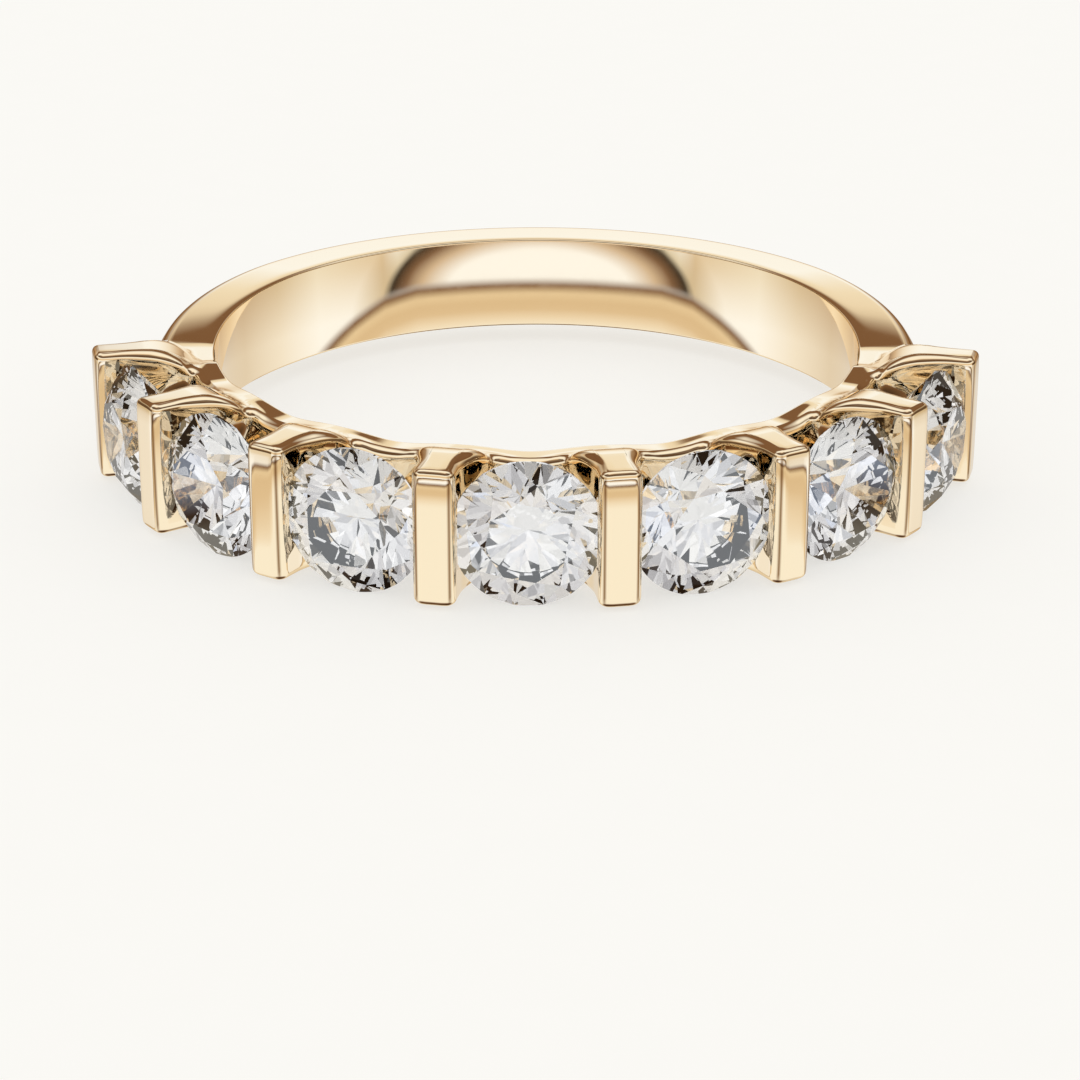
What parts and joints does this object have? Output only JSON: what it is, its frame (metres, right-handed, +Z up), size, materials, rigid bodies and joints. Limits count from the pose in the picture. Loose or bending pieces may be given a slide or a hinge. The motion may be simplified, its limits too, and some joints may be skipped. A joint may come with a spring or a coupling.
{
  "type": "bar set band",
  "caption": "Finger ring with a row of round brilliants held between upright bars across the front and a plain shank behind.",
  "frame": {"origin": "middle of the base of the box round the whole ring, on the surface that it lies on", "axes": "+Z up along the finger axis, -Y out through the middle stone, +X along the row of stones, to the right as seen from the front"},
  "size_m": [0.0222, 0.0213, 0.0035],
  "materials": {
    "gold": "polished 14k yellow gold",
    "diamond": "faceted and polished, colourless"
  },
  "bodies": {
    "root": {"band": "gold", "stone_1": "diamond", "stone_2": "diamond", "stone_3": "diamond", "stone_4": "diamond", "stone_5": "diamond", "stone_6": "diamond", "stone_7": "diamond"}
  },
  "joints": []
}
